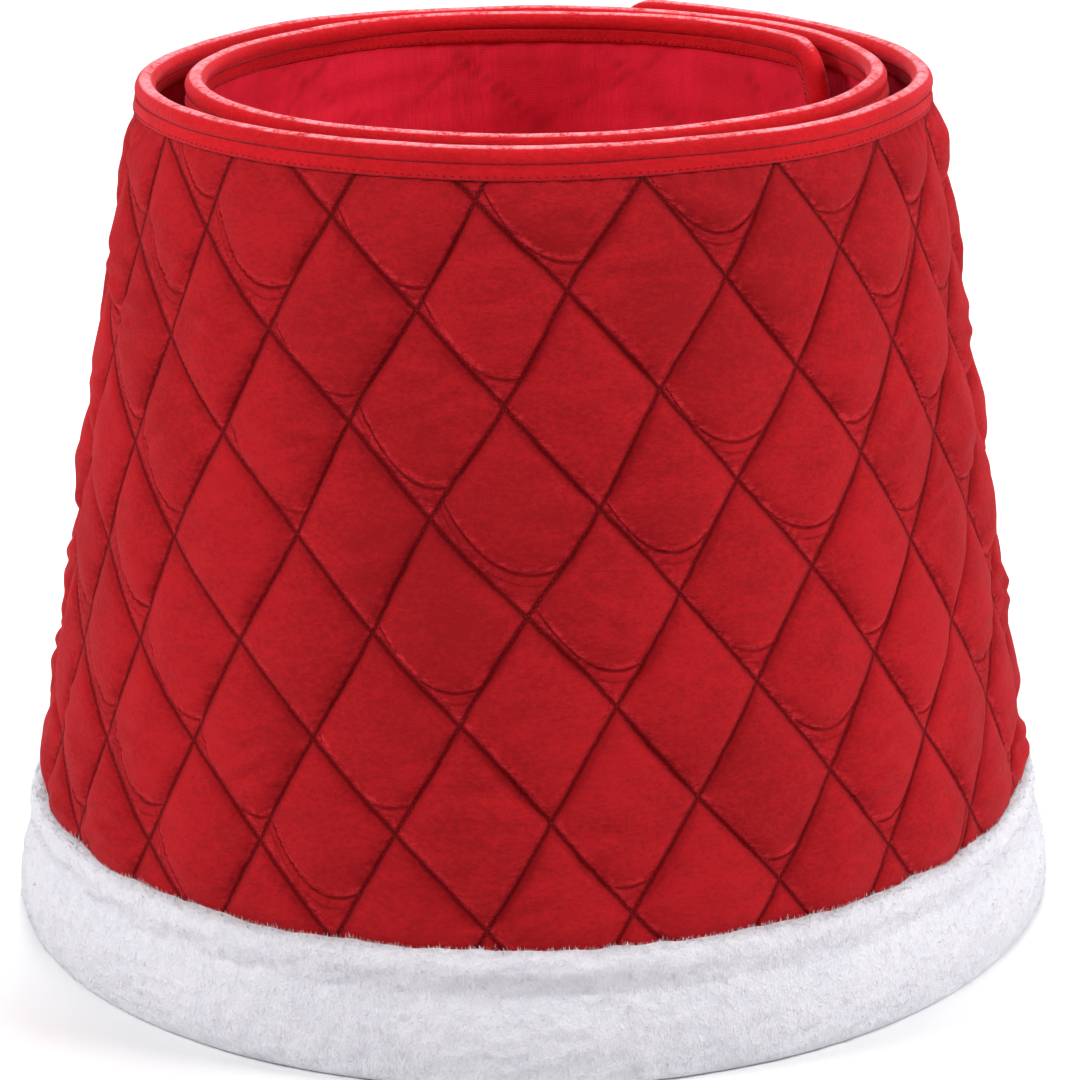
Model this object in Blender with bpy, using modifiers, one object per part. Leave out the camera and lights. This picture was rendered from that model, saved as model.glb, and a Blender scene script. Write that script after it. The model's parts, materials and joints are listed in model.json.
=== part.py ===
"""A quilted velvet tree skirt, coiled round itself: one long bound strip with a piped rim and a fur trim.

Metres, +Z up. The origin is on the floor, under the middle of the coil's box.

A place on the strip has three numbers: the turn angle in degrees, counted on past 360 from the inner end of
the coil to its outer end; the height above the floor; and the offset from the middle of the wall, outward.
The strip leans as a cone does, so the turn angle stays the same down each straight line of the wall.
"""

import math

import bmesh
import bpy
from mathutils import Vector

# The standing coil
HEIGHT = 0.455
RIM_RADIUS = 0.1762
GROWTH_PER_TURN = 0.0171
OVAL = 0.0057
OVAL_DIRECTION = 65.0
SWAY = 0.0054
SWAY_START = 62.0
SLOPE = 0.165
SLOPE_LOST_PER_TURN = 0.012
STEEPER_BELOW = 600.0

# Where the strip starts, bends and ends, as turn angles
INNER_END = 24.0
INNER_HINGE = 62.0
WRAP_HINGE = 650.0
TAIL_HINGE = 727.0
OUTER_END = 797.0
FLARE_START, FLARE = 745.0, 0.030
CURL_START, CURL = 75.0, 0.0104
BEND_SPREAD = 60.0
INNER_END_LIFT = 0.008

# The quilted wall, from the coil's inside to its outside
LINING_THICKNESS = 0.0006
BATTING_THICKNESS = 0.0036
VELVET_THICKNESS = 0.0012
LAYER_GAP = 0.0003
WALL_HALF = (LINING_THICKNESS + BATTING_THICKNESS + VELVET_THICKNESS) / 2 + LAYER_GAP

# The piped binding along the rim and down both ends
CORD_RADIUS = 0.0042
CORD_CLEARANCE = 0.0004
BINDING_THICKNESS = 0.0009
ROLL_RADIUS = CORD_RADIUS + CORD_CLEARANCE + BINDING_THICKNESS
FLANGE_WIDTH = 0.0065
CORNER_RADIUS = 0.022

# The fur trim, folded round the lower edge
TRIM_THICKNESS = 0.0032
TRIM_HEIGHT = 0.068
TRIM_INNER_HEIGHT = 0.030

# The closing tapes
TAPE_THICKNESS = 0.0015
TAPE_WIDTH = 0.025
TAPE_INSET = 0.032
TAPE_BOTTOM = 0.100
TAPE_TOP = 0.400

# How finely the pieces are divided, and the room left where the strip is cut at a hinge
COLUMN_STEP = 7.5
CORNER_STEPS = 4
ROLL_STEPS = 9
HINGE_GAP = 0.0008

FLANGE_OFFSET = WALL_HALF + LAYER_GAP + BINDING_THICKNESS
ROLL_HEIGHT = HEIGHT - ROLL_RADIUS
EDGE_INSET = CORD_RADIUS + LAYER_GAP
TRIM_OFFSET = WALL_HALF + LAYER_GAP + TRIM_THICKNESS
WALL_BOTTOM = TRIM_THICKNESS + LAYER_GAP + SLOPE * BATTING_THICKNESS
HINGE_OFFSET = TRIM_OFFSET + LAYER_GAP

SEGMENTS = {
    "inner_end": (INNER_END, INNER_HINGE),
    "main": (INNER_HINGE, WRAP_HINGE),
    "wrap": (WRAP_HINGE, TAIL_HINGE),
    "tail": (TAIL_HINGE, OUTER_END),
}


def rim_radius(angle):
    """The distance from the coil's axis to the middle of the piped roll."""
    grown = GROWTH_PER_TURN * (angle - INNER_END) / 360
    oval = OVAL * math.cos(math.radians(2 * (angle - OVAL_DIRECTION)))
    sway = SWAY * math.sin(math.radians((angle - SWAY_START) / 2))
    flare = FLARE * max(0.0, (angle - FLARE_START) / BEND_SPREAD) ** 2
    curl = CURL * max(0.0, (CURL_START - angle) / BEND_SPREAD) ** 2
    return RIM_RADIUS + grown + oval - sway + flare - curl


def slope(angle):
    """How far the wall spreads for each metre down. The inner turns stand a little steeper."""
    return SLOPE - SLOPE_LOST_PER_TURN * max(0.0, (STEEPER_BELOW - angle) / 360)


def wall_radius(angle, height):
    return rim_radius(angle) + slope(angle) * (ROLL_HEIGHT - height)


def facing(angle, height):
    """The level direction that the wall faces, outward, which turns away from the radius where the coil opens."""
    step = 0.5
    growth = wall_radius(angle + step, height) - wall_radius(angle - step, height)
    turned = math.atan2(growth, 2 * math.radians(step) * wall_radius(angle, height))
    level = math.radians(angle) - turned
    return Vector((math.cos(level), math.sin(level), 0))


def place_on_cone(angle, height, offset):
    """A place on the strip, from the coil's own axis."""
    across = offset * math.hypot(1, slope(angle))
    radial = Vector((math.cos(math.radians(angle)), math.sin(math.radians(angle)), 0))
    point = wall_radius(angle, height) * radial + across * facing(angle, height)
    along_end = max(0.0, (INNER_HINGE - angle) / (INNER_HINGE - INNER_END))
    point.z = height + INNER_END_LIFT * along_end * (1 - height / HEIGHT)
    return point


def beside(angle, height, distance):
    """The turn angle that lies this far along the wall from another."""
    return angle + math.degrees(distance / wall_radius(angle, height))


def segment_limits(name):
    """The turn angles where a segment's cloth starts and stops, with half the gap left at each hinge."""
    start, end = SEGMENTS[name]
    if start != INNER_END:
        start = beside(start, ROLL_HEIGHT, HINGE_GAP / 2)
    if end != OUTER_END:
        end = beside(end, ROLL_HEIGHT, -HINGE_GAP / 2)
    return start, end


def even(start, end):
    """Turn angles in even steps from one to the other."""
    count = max(1, round(abs(end - start) / COLUMN_STEP))
    return [start + (end - start) * i / count for i in range(count + 1)]


def corner_turns():
    """The angles through which a bound corner turns, from its upright edge to the rim."""
    return [math.radians(90 * i / CORNER_STEPS) for i in range(CORNER_STEPS + 1)]


def free_end(name):
    """The turn angle of a segment's free end and the way into the cloth from it, or None."""
    if name == "inner_end":
        return INNER_END, 1
    if name == "tail":
        return OUTER_END, -1
    return None


def tape_columns(name):
    """The turn angles of the closing tape's two edges on a segment with a free end, nearest the end first."""
    end, way = free_end(name)
    return [beside(end, ROLL_HEIGHT, way * (TAPE_INSET + across)) for across in (0, TAPE_WIDTH)]


def wall_columns(name):
    """(turn angle, upper edge) of each column of a segment's cloth, in the order of the strip."""
    top = ROLL_HEIGHT - EDGE_INSET
    start, end = segment_limits(name)
    if free_end(name) is None:
        return [(angle, top) for angle in even(start, end)]
    edge, way = free_end(name)
    hinge = end if way == 1 else start
    inner_radius = CORNER_RADIUS - EDGE_INSET
    found = []
    for turn in corner_turns():
        across = CORNER_RADIUS - inner_radius * math.cos(turn)
        height = ROLL_HEIGHT - CORNER_RADIUS + inner_radius * math.sin(turn)
        found.append((beside(edge, ROLL_HEIGHT, way * across), height))
    near, far = tape_columns(name)
    found.append((near, top))
    found += [(angle, top) for angle in even(far, hinge)]
    return found if way == 1 else found[::-1]


def trim_columns(name):
    """The turn angles of the fur trim, which runs on past the cloth to the very end."""
    angles = [angle for angle, _ in wall_columns(name)]
    if name == "inner_end":
        return [INNER_END] + angles
    if name == "tail":
        return angles + [OUTER_END]
    return angles


def binding_stations(name):
    """(turn angle, height, share inward along the wall, share inward down the wall) along a segment's roll."""
    straight = [(angle, ROLL_HEIGHT, 0, 1) for angle, _ in wall_columns(name)]
    if free_end(name) is None:
        return straight
    edge, way = free_end(name)
    upright = [(edge, TRIM_HEIGHT + LAYER_GAP, way, 0)]
    for turn in corner_turns():
        across = CORNER_RADIUS * (1 - math.cos(turn))
        height = ROLL_HEIGHT - CORNER_RADIUS * (1 - math.sin(turn))
        angle = beside(edge, ROLL_HEIGHT, way * across)
        upright.append((angle, height, way * math.cos(turn), math.sin(turn)))
    if way == 1:
        return upright + straight[CORNER_STEPS + 1 :]
    return straight[: -CORNER_STEPS - 1] + upright[::-1]


def binding_section():
    """(distance in from the roll's middle, offset) along the binding's outside, from outer to inner flange."""
    neck = math.pi - math.asin(FLANGE_OFFSET / ROLL_RADIUS)
    edge = EDGE_INSET + FLANGE_WIDTH
    turns = [neck * (1 - 2 * i / ROLL_STEPS) for i in range(ROLL_STEPS + 1)]
    roll = [(-ROLL_RADIUS * math.cos(turn), ROLL_RADIUS * math.sin(turn)) for turn in turns]
    return [(edge, FLANGE_OFFSET)] + roll + [(edge, -FLANGE_OFFSET)]


def coil_middle():
    """The middle of the coil's box, seen from above, from the fur trim's outer face on the floor."""
    angles = [angle for name in SEGMENTS for angle in trim_columns(name)]
    points = [place_on_cone(angle, 0, TRIM_OFFSET) for angle in angles]
    middle = [(min(p[axis] for p in points) + max(p[axis] for p in points)) / 2 for axis in (0, 1)]
    return Vector((*middle, 0))


COIL_MIDDLE = coil_middle()


def place(angle, height, offset):
    return place_on_cone(angle, height, offset) - COIL_MIDDLE


def remove_scene_objects():
    for thing in list(bpy.data.objects):
        bpy.data.objects.remove(thing, do_unlink=True)


def new_collection():
    collection = bpy.data.collections.new("tree_skirt")
    bpy.context.scene.collection.children.link(collection)
    return collection


def material(name, colour, roughness):
    """A plain cloth finish of one linear colour."""
    made = bpy.data.materials.new(name)
    made.use_nodes = True
    shader = made.node_tree.nodes["Principled BSDF"]
    shader.inputs["Base Color"].default_value = (*colour, 1)
    shader.inputs["Roughness"].default_value = roughness
    shader.inputs["Metallic"].default_value = 0
    return made


def mapped_sheet(name, across_count, up_count, at):
    """A grid whose vertex (column, row) goes where at(column, row) says."""
    grid = bmesh.new()
    bmesh.ops.create_grid(grid, x_segments=across_count, y_segments=up_count, size=1)
    for vertex in grid.verts:
        column = round((vertex.co.x + 1) / 2 * across_count)
        row = round((vertex.co.y + 1) / 2 * up_count)
        vertex.co = at(column, row)
    mesh = bpy.data.meshes.new(name)
    grid.to_mesh(mesh)
    grid.free()
    mesh.shade_smooth()
    mesh.set_sharp_from_angle(angle=math.radians(35))
    return bpy.data.objects.new(name, mesh)


def thicken(sheet, thickness):
    """Gives a sheet its thickness, away from the side it faces."""
    solid = sheet.modifiers.new("thickness", "SOLIDIFY")
    solid.thickness = thickness
    solid.offset = -1
    solid.use_even_offset = True
    return sheet


def layer(name, segment, outer, thickness):
    """One layer of the quilted wall over a segment. outer is the offset of the side it faces."""
    columns = wall_columns(segment)

    def at(column, row):
        angle, top = columns[column]
        return place(angle, top if row else WALL_BOTTOM, outer)

    return thicken(mapped_sheet(name, len(columns) - 1, 1, at), thickness)


def binding(name, segment):
    """The velvet strip folded over the piping cord and stitched down on both faces of the wall."""
    stations = binding_stations(segment)
    section = binding_section()

    def at(column, row):
        angle, height, along, down = stations[column]
        inward, offset = section[row]
        lean = math.atan(slope(angle))
        lower = height - inward * down * math.cos(lean) + offset * math.sin(lean)
        return place(beside(angle, lower, inward * along), lower, offset)

    return thicken(mapped_sheet(name, len(stations) - 1, len(section) - 1, at), BINDING_THICKNESS)


def piping_cord(name, segment):
    """The round filler cord inside the binding's roll."""
    curve = bpy.data.curves.new(name, "CURVE")
    curve.dimensions = "3D"
    curve.bevel_depth = CORD_RADIUS
    curve.bevel_resolution = 2
    curve.use_fill_caps = True
    spline = curve.splines.new("POLY")
    stations = binding_stations(segment)
    spline.points.add(len(stations) - 1)
    for point, (angle, height, _, _) in zip(spline.points, stations):
        point.co = (*place(angle, height, 0), 1)
    return bpy.data.objects.new(name, curve)


def fur_trim(name, segment):
    """The fur band folded round the lower edge: a low inner leg, a flat foot and the tall outer leg."""
    angles = trim_columns(segment)
    section = [
        (-TRIM_OFFSET, TRIM_INNER_HEIGHT),
        (-TRIM_OFFSET, 0),
        (TRIM_OFFSET, 0),
        (TRIM_OFFSET, TRIM_HEIGHT),
    ]

    def at(column, row):
        offset, height = section[row]
        return place(angles[column], height, offset)

    return thicken(mapped_sheet(name, len(angles) - 1, len(section) - 1, at), TRIM_THICKNESS)


def closing_tape(name, segment, outer):
    """An upright strip of hook or loop tape beside a free end. outer is the offset of the side it faces."""
    angles = sorted(tape_columns(segment))

    def at(column, row):
        return place(angles[column], TAPE_TOP if row else TAPE_BOTTOM, outer)

    return thicken(mapped_sheet(name, 1, 1, at), TAPE_THICKNESS)


def hinge(name, angle, offset, collection):
    """An empty on a straight line of the wall, with its Z axis down the line."""
    upper = place(angle, ROLL_HEIGHT, offset)
    lower = place(angle, 0, offset)
    empty = bpy.data.objects.new(name, None)
    empty.empty_display_size = 0.05
    empty.location = (upper + lower) / 2
    empty.rotation_mode = "QUATERNION"
    empty.rotation_quaternion = (lower - upper).to_track_quat("Z", "X")
    collection.objects.link(empty)
    return empty


def segment_pieces(segment, cloths):
    """Every piece of one segment, each with its material."""
    velvet_side = WALL_HALF
    batting_side = velvet_side - VELVET_THICKNESS - LAYER_GAP
    lining_side = batting_side - BATTING_THICKNESS - LAYER_GAP
    pieces = [
        (layer(f"velvet_face_{segment}", segment, velvet_side, VELVET_THICKNESS), cloths["velvet"]),
        (layer(f"batting_{segment}", segment, batting_side, BATTING_THICKNESS), cloths["batting"]),
        (layer(f"lining_{segment}", segment, lining_side, LINING_THICKNESS), cloths["lining"]),
        (binding(f"rim_binding_{segment}", segment), cloths["binding"]),
        (piping_cord(f"piping_cord_{segment}", segment), cloths["cord"]),
        (fur_trim(f"fur_trim_{segment}", segment), cloths["fur"]),
    ]
    if segment == "inner_end":
        outer = WALL_HALF + LAYER_GAP + TAPE_THICKNESS
        pieces.append((closing_tape("loop_tape", segment, outer), cloths["tape"]))
    if segment == "tail":
        pieces.append((closing_tape("hook_tape", segment, -WALL_HALF - LAYER_GAP), cloths["tape"]))
    return pieces


def build():
    remove_scene_objects()
    collection = new_collection()
    cloths = {
        "velvet": material("red_velvet", (0.480, 0.010, 0.017), 0.85),
        "batting": material("white_batting", (0.800, 0.790, 0.760), 0.95),
        "lining": material("red_lining", (0.430, 0.010, 0.022), 0.70),
        "binding": material("velvet_binding", (0.560, 0.012, 0.022), 0.80),
        "cord": material("cotton_cord", (0.760, 0.730, 0.660), 0.90),
        "fur": material("white_fur", (0.830, 0.820, 0.860), 0.95),
        "tape": material("red_tape", (0.350, 0.010, 0.018), 0.75),
    }
    hinges = {
        "inner_end": hinge("inner_end_hinge", INNER_HINGE, -HINGE_OFFSET, collection),
        "wrap": hinge("wrap_hinge", WRAP_HINGE, HINGE_OFFSET, collection),
        "tail": hinge("tail_hinge", TAIL_HINGE, HINGE_OFFSET, collection),
    }
    bpy.context.view_layer.update()
    for segment in SEGMENTS:
        for piece, cloth in segment_pieces(segment, cloths):
            collection.objects.link(piece)
            piece.data.materials.append(cloth)
            if segment in hinges:
                piece.parent = hinges[segment]
                piece.matrix_parent_inverse = hinges[segment].matrix_world.inverted()


build()
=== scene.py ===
"""The looks of a quilted velvet tree skirt, coiled round itself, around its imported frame.

Every piece of cloth is a grid laid on the coil's wall. A place on the wall has three numbers: the turn
in degrees, counted on past 360 to the coil's outer end; the height above the floor; and the offset
outward from the middle of the wall. Lengths are in metres.
"""

import json
import math

import bpy
import numpy as np
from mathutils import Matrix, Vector


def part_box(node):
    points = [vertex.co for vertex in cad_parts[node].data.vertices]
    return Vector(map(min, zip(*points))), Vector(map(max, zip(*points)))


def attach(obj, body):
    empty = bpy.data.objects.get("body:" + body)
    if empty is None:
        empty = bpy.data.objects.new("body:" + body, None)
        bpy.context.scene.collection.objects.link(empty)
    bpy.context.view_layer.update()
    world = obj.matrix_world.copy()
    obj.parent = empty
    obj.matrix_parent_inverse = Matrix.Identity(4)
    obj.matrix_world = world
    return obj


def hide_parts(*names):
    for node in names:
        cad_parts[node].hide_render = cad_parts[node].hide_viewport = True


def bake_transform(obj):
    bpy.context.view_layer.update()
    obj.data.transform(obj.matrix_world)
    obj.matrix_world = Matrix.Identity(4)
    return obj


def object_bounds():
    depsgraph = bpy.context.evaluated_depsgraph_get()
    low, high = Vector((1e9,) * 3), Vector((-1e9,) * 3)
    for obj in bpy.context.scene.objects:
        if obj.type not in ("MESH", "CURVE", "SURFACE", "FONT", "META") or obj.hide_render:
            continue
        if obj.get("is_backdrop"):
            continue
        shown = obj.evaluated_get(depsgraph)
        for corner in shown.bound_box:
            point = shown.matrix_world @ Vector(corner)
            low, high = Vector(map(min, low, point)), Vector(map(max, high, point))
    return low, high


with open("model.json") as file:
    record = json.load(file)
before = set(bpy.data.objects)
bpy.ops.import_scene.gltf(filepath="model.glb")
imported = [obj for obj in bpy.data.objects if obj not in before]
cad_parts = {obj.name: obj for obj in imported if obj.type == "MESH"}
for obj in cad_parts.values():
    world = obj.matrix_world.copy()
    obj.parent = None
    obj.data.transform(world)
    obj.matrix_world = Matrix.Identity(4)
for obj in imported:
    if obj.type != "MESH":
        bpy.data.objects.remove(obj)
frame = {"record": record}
CAD_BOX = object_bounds()

MM = 0.001
TAU = 2 * math.pi

# The standing coil, as the frame has it
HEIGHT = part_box("rim_binding_main")[1][2]
TRIM_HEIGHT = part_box("fur_trim_main")[1][2]
RIM_RADIUS = 0.1762
GROWTH_PER_TURN = 0.0171
OVAL, OVAL_DIRECTION = 0.0057, 65.0
SWAY, SWAY_START = 0.0054, 62.0
SLOPE, SLOPE_LOST_PER_TURN, STEEPER_BELOW = 0.165, 0.012, 600.0
FLARE_START, FLARE = 745.0, 0.030
CURL_START, CURL = 75.0, 0.0104
BEND_SPREAD = 60.0
INNER_END, OUTER_END = 24.0, 797.0
INNER_HINGE, WRAP_HINGE, TAIL_HINGE = 62.0, 650.0, 727.0
INNER_END_LIFT = 0.008

# The wall, its binding and its trim
WALL_HALF = 0.0030
ROLL_RADIUS = 0.0055
ROLL_HEIGHT = HEIGHT - ROLL_RADIUS
EDGE_INSET = 0.0045
FLANGE_WIDTH = 0.0065
CORNER_RADIUS = 0.022

# The quilting: diamonds of stitching, laid out on the flat cloth before it was coiled
DIAMOND_WIDTH, DIAMOND_HEIGHT = 0.0762, 0.1016
FLAT_RIM_RADIUS = 1.20
FRONT = 630.0
PATTERN_TILT = math.radians(6.3)
TILT_COS, TILT_SIN = math.cos(PATTERN_TILT), math.sin(PATTERN_TILT)
PATTERN_ORIGIN = (0.0315, -0.1671)
PUFF = 0.0072

# The reach each side of a hinge, in degrees of turn, that the hinge's own segment covers, with two more to
# spare
BEND_REACH = 8.0
FINE = 1.0


# ---------------------------------------------------------------- the coil


def rim_radius(turn):
    """The distance from the coil's axis to the middle of the piped roll."""
    grown = GROWTH_PER_TURN * (turn - INNER_END) / 360
    oval = OVAL * np.cos(np.radians(2 * (turn - OVAL_DIRECTION)))
    sway = SWAY * np.sin(np.radians((turn - SWAY_START) / 2))
    flare = FLARE * (np.maximum(0, turn - FLARE_START) / BEND_SPREAD) ** 2
    curl = CURL * (np.maximum(0, CURL_START - turn) / BEND_SPREAD) ** 2
    return RIM_RADIUS + grown + oval - sway + flare - curl


def slope(turn):
    return SLOPE - SLOPE_LOST_PER_TURN * np.maximum(0, (STEEPER_BELOW - turn) / 360)


def wall_radius(turn, height):
    return rim_radius(turn) + slope(turn) * (ROLL_HEIGHT - height)


def cone_place(turn, height, offset):
    """A place on the wall from the coil's own axis. The offset runs level, so heights stay as asked."""
    turn, height, offset = np.broadcast_arrays(*(np.asarray(v, float) for v in (turn, height, offset)))
    step = 0.5
    radius = wall_radius(turn, height)
    growth = wall_radius(turn + step, height) - wall_radius(turn - step, height)
    faces = np.radians(turn) - np.arctan2(growth, 2 * math.radians(step) * radius)
    across = offset * np.hypot(1, slope(turn))
    x = radius * np.cos(np.radians(turn)) + across * np.cos(faces)
    y = radius * np.sin(np.radians(turn)) + across * np.sin(faces)
    end_share = np.clip((INNER_HINGE - turn) / (INNER_HINGE - INNER_END), 0, None)
    lift = INNER_END_LIFT * end_share * (1 - height / HEIGHT)
    return np.stack([x, y, height + lift], axis=-1)


REST_TURN = 270.0
REST_POINT = np.array(frame["record"]["mounts"][0]["pos_m"])
COIL_AXIS = (REST_POINT - cone_place(REST_TURN, 0, 0)) * (1, 1, 0)


def level_place(turn, height, offset):
    return cone_place(turn, height, offset) + COIL_AXIS


def wall_place(turn, height, offset):
    """A place at an offset square to the leaning wall."""
    lean = np.arctan(slope(np.asarray(turn, float)))
    return level_place(turn, height + offset * np.sin(lean), offset)


def beside(turn, height, distance):
    """The turn that lies this far along the wall."""
    return turn + np.degrees(distance / wall_radius(turn, height))


ARC_TURNS = np.arange(INNER_END - 30, OUTER_END + 31, 1.0)
ARC_LENGTHS = np.cumsum(rim_radius(ARC_TURNS) * math.radians(1))
ARC_FRONT = np.interp(FRONT, ARC_TURNS, ARC_LENGTHS)


def flat_swing(turn):
    """How far round the flat strip's curve a turn lies from the front, in radians."""
    return (np.interp(turn, ARC_TURNS, ARC_LENGTHS) - ARC_FRONT) / FLAT_RIM_RADIUS


def flat_place(turn, height):
    """Where a place on the wall lies on the flat, curved strip of cloth."""
    swing = flat_swing(turn)
    reach = FLAT_RIM_RADIUS + (ROLL_HEIGHT - height) * np.hypot(1, slope(turn))
    return reach * np.sin(swing), FLAT_RIM_RADIUS - reach * np.cos(swing)


def from_flat(x, y):
    """The turn and height of a place on the flat cloth."""
    swing = np.arctan2(x, FLAT_RIM_RADIUS - y)
    reach = np.hypot(x, FLAT_RIM_RADIUS - y)
    turn = np.interp(swing * FLAT_RIM_RADIUS + ARC_FRONT, ARC_LENGTHS, ARC_TURNS)
    return turn, ROLL_HEIGHT - (reach - FLAT_RIM_RADIUS) / np.hypot(1, slope(turn))


def wander(x, y, size, seed, terms=6):
    """Smooth unevenness from about -1 to 1, whose bumps are about this size."""
    luck = np.random.default_rng(seed)
    total = 0
    for _ in range(terms):
        way, start = luck.uniform(0, TAU, 2)
        length = size * luck.uniform(0.7, 1.6)
        total = total + np.sin(TAU * (x * math.cos(way) + y * math.sin(way)) / length + start)
    return total / math.sqrt(terms)


def luck_of(first, second, kind):
    """A fixed random share from 0 to 1 for each diamond."""
    mixed = np.sin(first * 12.9898 + second * 78.233 + kind * 37.719) * 43758.5453
    return mixed - np.floor(mixed)


def bell(distance, width):
    return np.exp(-((distance / width) ** 2))


# ---------------------------------------------------------------- the quilting


def pattern_wobble(x, y):
    """How far the stitching strays from true lines."""
    return 1.6 * MM * wander(x, y, 0.11, 3), 1.6 * MM * wander(x, y, 0.11, 4)


def pattern_place(turn, height):
    """The two diamond coordinates of a place; the stitching runs where either is a whole number."""
    x, y = flat_place(turn, height)
    dx, dy = pattern_wobble(x, y)
    x, y = x + dx - PATTERN_ORIGIN[0], y + dy - PATTERN_ORIGIN[1]
    across = x * TILT_COS + y * TILT_SIN
    up = y * TILT_COS - x * TILT_SIN
    return across / DIAMOND_WIDTH + up / DIAMOND_HEIGHT, up / DIAMOND_HEIGHT - across / DIAMOND_WIDTH


def from_pattern(one, two):
    """The turn and height of a place given by its two diamond coordinates."""
    across, up = (one - two) * DIAMOND_WIDTH / 2, (one + two) * DIAMOND_HEIGHT / 2
    x = across * TILT_COS - up * TILT_SIN + PATTERN_ORIGIN[0]
    y = across * TILT_SIN + up * TILT_COS + PATTERN_ORIGIN[1]
    dx, dy = pattern_wobble(x, y)
    return np.stack(from_flat(x - dx, y - dy), axis=-1)


SEAM_LENGTH = math.hypot(DIAMOND_WIDTH, DIAMOND_HEIGHT) / 2
LINE_SPACING = DIAMOND_WIDTH * DIAMOND_HEIGHT / (2 * SEAM_LENGTH)
FLANGE_EDGE = ROLL_HEIGHT - EDGE_INSET - FLANGE_WIDTH

# Where the padding starts to fill out beside the rim, the trim and a free end, and over what distance
RIM_FILL_FROM, RIM_FILL = FLANGE_EDGE + 0.002, 0.011
TRIM_FILL_FROM, TRIM_FILL, TRIM_PRESS = TRIM_HEIGHT - 0.004, 0.010, 0.75
END_FILL_FROM, END_FILL = 0.012, 0.010

# The padding's steep edge and slow dome beside a seam
PUFF_EDGE, PUFF_DOME, PUFF_POWER = 0.0036, 0.015, 1.3


def seam_gap(coordinate):
    """How far a place is from the nearest seam of one diamond coordinate."""
    return (0.5 - np.abs(coordinate - np.floor(coordinate) - 0.5)) * LINE_SPACING


def nearest_seam(turn, height):
    return np.minimum(*(seam_gap(coordinate) for coordinate in pattern_place(turn, height)))


def held_flat(turn, height):
    """0 where the binding or the trim presses the quilting flat, 1 in the open wall."""
    under_rim = 1 - bell(np.maximum(0, RIM_FILL_FROM - height), RIM_FILL)
    over_trim = 1 - TRIM_PRESS * bell(np.maximum(0, height - TRIM_FILL_FROM), TRIM_FILL)
    from_end = np.minimum(turn - INNER_END, OUTER_END - turn) * np.radians(rim_radius(turn))
    by_end = 1 - bell(np.maximum(0, from_end - END_FILL_FROM), END_FILL)
    return under_rim * over_trim * by_end


def rounded_edge(gap):
    """How full the padding is at this distance from a seam, from 0 to 1."""
    edge, dome = (np.exp(-((np.maximum(gap, 0) / size) ** PUFF_POWER)) for size in (PUFF_EDGE, PUFF_DOME))
    return 0.5 * (1 - edge) + 0.5 * (1 - dome)


# The sagging folds: the share of diamonds with one, how strongly it curves, and the way down to the next
FOLD_SHARE, FOLD_CURVE, FOLD_SPACING = 0.75, 20, 0.0056
NO_FOLD = 1.0
FOLD_LIMIT = 0.02
SMALL_FOLD_RISE = 0.36

# The level wrinkles across a diamond's middle
RIPPLE_LENGTH, RIPPLE_REACH, RIPPLE = 0.0160, 0.020, 1.30 * MM


def quilt_places(turn, height):
    """Where a place lies in its diamond: (coordinates, distances to its seams, over, down, luck)."""
    one, two = pattern_place(turn, height)
    first, second = np.floor(one), np.floor(two)
    from_one, from_two = one - first - 0.5, two - second - 0.5
    gaps = seam_gap(one), seam_gap(two)
    over = (from_one - from_two) * DIAMOND_WIDTH / 2
    down = (from_one + from_two) * DIAMOND_HEIGHT / 2
    return (one, two), gaps, over, down, lambda kind: luck_of(first, second, kind)


def fold_height(turn, over, down, luck):
    """How far a place is above its diamond's sagging fold, which curves up at its ends to meet the seams.

    The cloth sags toward the floor, so the fold lies level over the diamond's lowest corner, however
    the diamond is turned.
    """
    turned = flat_swing(turn) - PATTERN_TILT
    from_corner = down + DIAMOND_HEIGHT / 2
    level = over * np.cos(turned) + from_corner * np.sin(turned)
    lifted = from_corner * np.cos(turned) - over * np.sin(turned)
    lift = (0.20 + 0.24 * luck(3)) * DIAMOND_HEIGHT / 2
    slant = (luck(4) - 0.5) * 0.25
    above = lifted - lift - FOLD_CURVE * level**2 - slant * level
    return np.where(luck(2) > 1 - FOLD_SHARE, above, NO_FOLD)


def quilt_relief(turn, height):
    """How far the velvet stands off the wall's flat face."""
    _, (gap_one, gap_two), over, down, luck = quilt_places(turn, height)
    above = fold_height(turn, over, down, luck)
    rise = rounded_edge(gap_one) * rounded_edge(gap_two)
    small_folds = SMALL_FOLD_RISE * np.abs(np.sin(np.pi * np.minimum(above, 0) / FOLD_SPACING)) ** 0.7
    rise = rise * np.where(above > 0, rounded_edge(above * 1.3), small_folds)
    fuller = 1 - 0.38 * down / (DIAMOND_HEIGHT / 2)
    puff = PUFF * rise * fuller * (0.80 + 0.45 * luck(1))

    x, y = flat_place(turn, height)
    tilted = down - (luck(6) - 0.35) * 0.5 * over - (luck(5) - 0.5) * 0.05
    pulled = np.where(luck(7) > 0.35, 0.25 + 0.75 * luck(8), 0.1)
    waves = np.sin(TAU * tilted / RIPPLE_LENGTH + 1.2 * wander(x, y, 0.04, 8))
    ripples = RIPPLE * waves * bell(tilted, RIPPLE_REACH) * pulled
    drag = wander(x * 0.35, y, 0.014, 9) * (0.5 + 0.5 * wander(x, y, 0.12, 13))
    uneven = ripples + MM * (0.38 * drag + 0.35 * wander(x, y, 0.03, 10))

    open_wall = held_flat(turn, height)
    inside = 1 - bell(np.minimum(gap_one, gap_two), 0.005)
    below_rim = np.maximum(0, FLANGE_EDGE - height)
    gathers = 0.35 * MM * np.sin(TAU * x / 0.0125 + 2 * wander(x, y, 0.08, 11)) * bell(below_rim, 0.012)
    sway = np.maximum(-0.4 * MM, 0.8 * MM * wander(x, y, 0.26, 12))
    return open_wall * (puff + inside * uneven + sway) + gathers * inside


def velvet_offset(turn, height):
    return WALL_HALF + quilt_relief(turn, height)


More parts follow.
